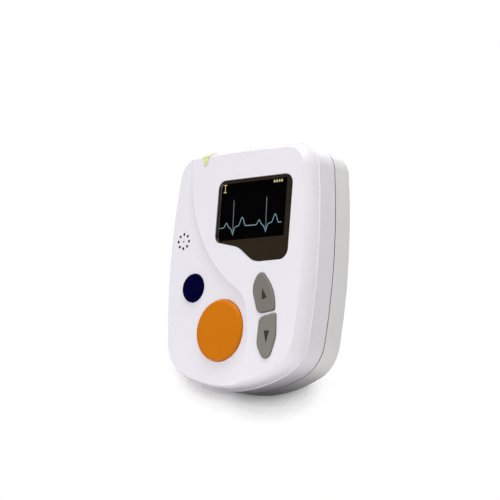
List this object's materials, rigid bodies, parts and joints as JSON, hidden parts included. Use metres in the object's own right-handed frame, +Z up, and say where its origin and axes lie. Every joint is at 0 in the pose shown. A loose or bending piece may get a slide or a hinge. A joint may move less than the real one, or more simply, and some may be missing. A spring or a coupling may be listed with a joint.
{
  "type": "holter monitor",
  "caption": "Pocket heart recorder with a rounded two-shell case, smoked screen window, large round event button, small round button, two arrow keys and a battery door at the back.",
  "frame": {"origin": "centre of the bounding box in X and Y, at the foot of the case in Z", "axes": "+Z up the device towards the end with the lead socket, -Y out of the face with the buttons, +X to the right as seen from the face"},
  "size_m": [0.08, 0.0278, 0.1005],
  "materials": {
    "shell_white": "fine satin moulded",
    "shell_back": "fine satin moulded",
    "smoked_window": "clear polished, smoked",
    "black_tape": "matt",
    "display_glass": "polished",
    "tray_grey": "satin",
    "ribbon": "satin",
    "connector_cream": "matt",
    "board_green": "solder mask",
    "event_orange": "satin moulded",
    "menu_blue": "satin moulded",
    "key_grey": "matt elastomer",
    "switch_black": "matt",
    "plunger_cream": "matt",
    "light_pipe": "clear, tinted",
    "led_white": "matt",
    "sounder_black": "matt",
    "socket_metal": "plated",
    "socket_black": "matt",
    "contact_gold": "plated",
    "cell_label": "printed sleeve",
    "spring_steel": "plated",
    "contact_steel": "plated",
    "can_metal": "tinned",
    "chip_black": "matt",
    "coin_steel": "satin",
    "screw_steel": "satin"
  },
  "bodies": {
    "recorder": {"front_case": "shell_white", "rear_case": "shell_back", "display_window": "smoked_window", "window_tape": "black_tape", "display_panel": "display_glass", "display_frame": "tray_grey", "display_flex": "ribbon", "display_connector": "connector_cream", "main_board": "board_green", "mark_switch": "switch_black", "menu_switch": "switch_black", "up_switch": "switch_black", "down_switch": "switch_black", "status_lens": "light_pipe", "status_led": "led_white", "sounder": "sounder_black", "lead_socket": "socket_metal", "lead_tongue": "socket_black", "lead_pins": "contact_gold", "data_socket": "socket_metal", "data_tongue": "socket_black", "upper_battery": "cell_label", "lower_battery": "cell_label", "battery_springs": "spring_steel", "battery_plates": "contact_steel", "shield_can": "can_metal", "processor_chip": "chip_black", "memory_chips": "chip_black", "clock_cell": "coin_steel", "case_screws": "screw_steel", "board_screws": "screw_steel"},
    "event_button": {"mark_button": "event_orange", "mark_plunger": "plunger_cream"},
    "menu_push": {"menu_button": "menu_blue", "menu_plunger": "plunger_cream"},
    "up_push": {"up_key": "key_grey", "up_plunger": "plunger_cream"},
    "down_push": {"down_key": "key_grey", "down_plunger": "plunger_cream"},
    "cover": {"battery_cover": "shell_back"}
  },
  "joints": [
    {"name": "event_press", "type": "slide", "parent": "recorder", "child": "event_button", "axis": [0, 1, 0], "range_m": [0, 0.0006], "stiffness_N_per_m": 800, "springref_m": -0.002},
    {"name": "menu_press", "type": "slide", "parent": "recorder", "child": "menu_push", "axis": [0, 1, 0], "range_m": [0, 0.0005], "stiffness_N_per_m": 600, "springref_m": -0.002},
    {"name": "up_press", "type": "slide", "parent": "recorder", "child": "up_push", "axis": [0, 1, 0], "range_m": [0, 0.0005], "stiffness_N_per_m": 600, "springref_m": -0.002},
    {"name": "down_press", "type": "slide", "parent": "recorder", "child": "down_push", "axis": [0, 1, 0], "range_m": [0, 0.0005], "stiffness_N_per_m": 600, "springref_m": -0.002},
    {"name": "cover_swing", "type": "hinge", "parent": "recorder", "child": "cover", "pos_m": [0, 0.0139, 0.05515], "axis": [1, 0, 0], "range_deg": [0, 60]}
  ]
}
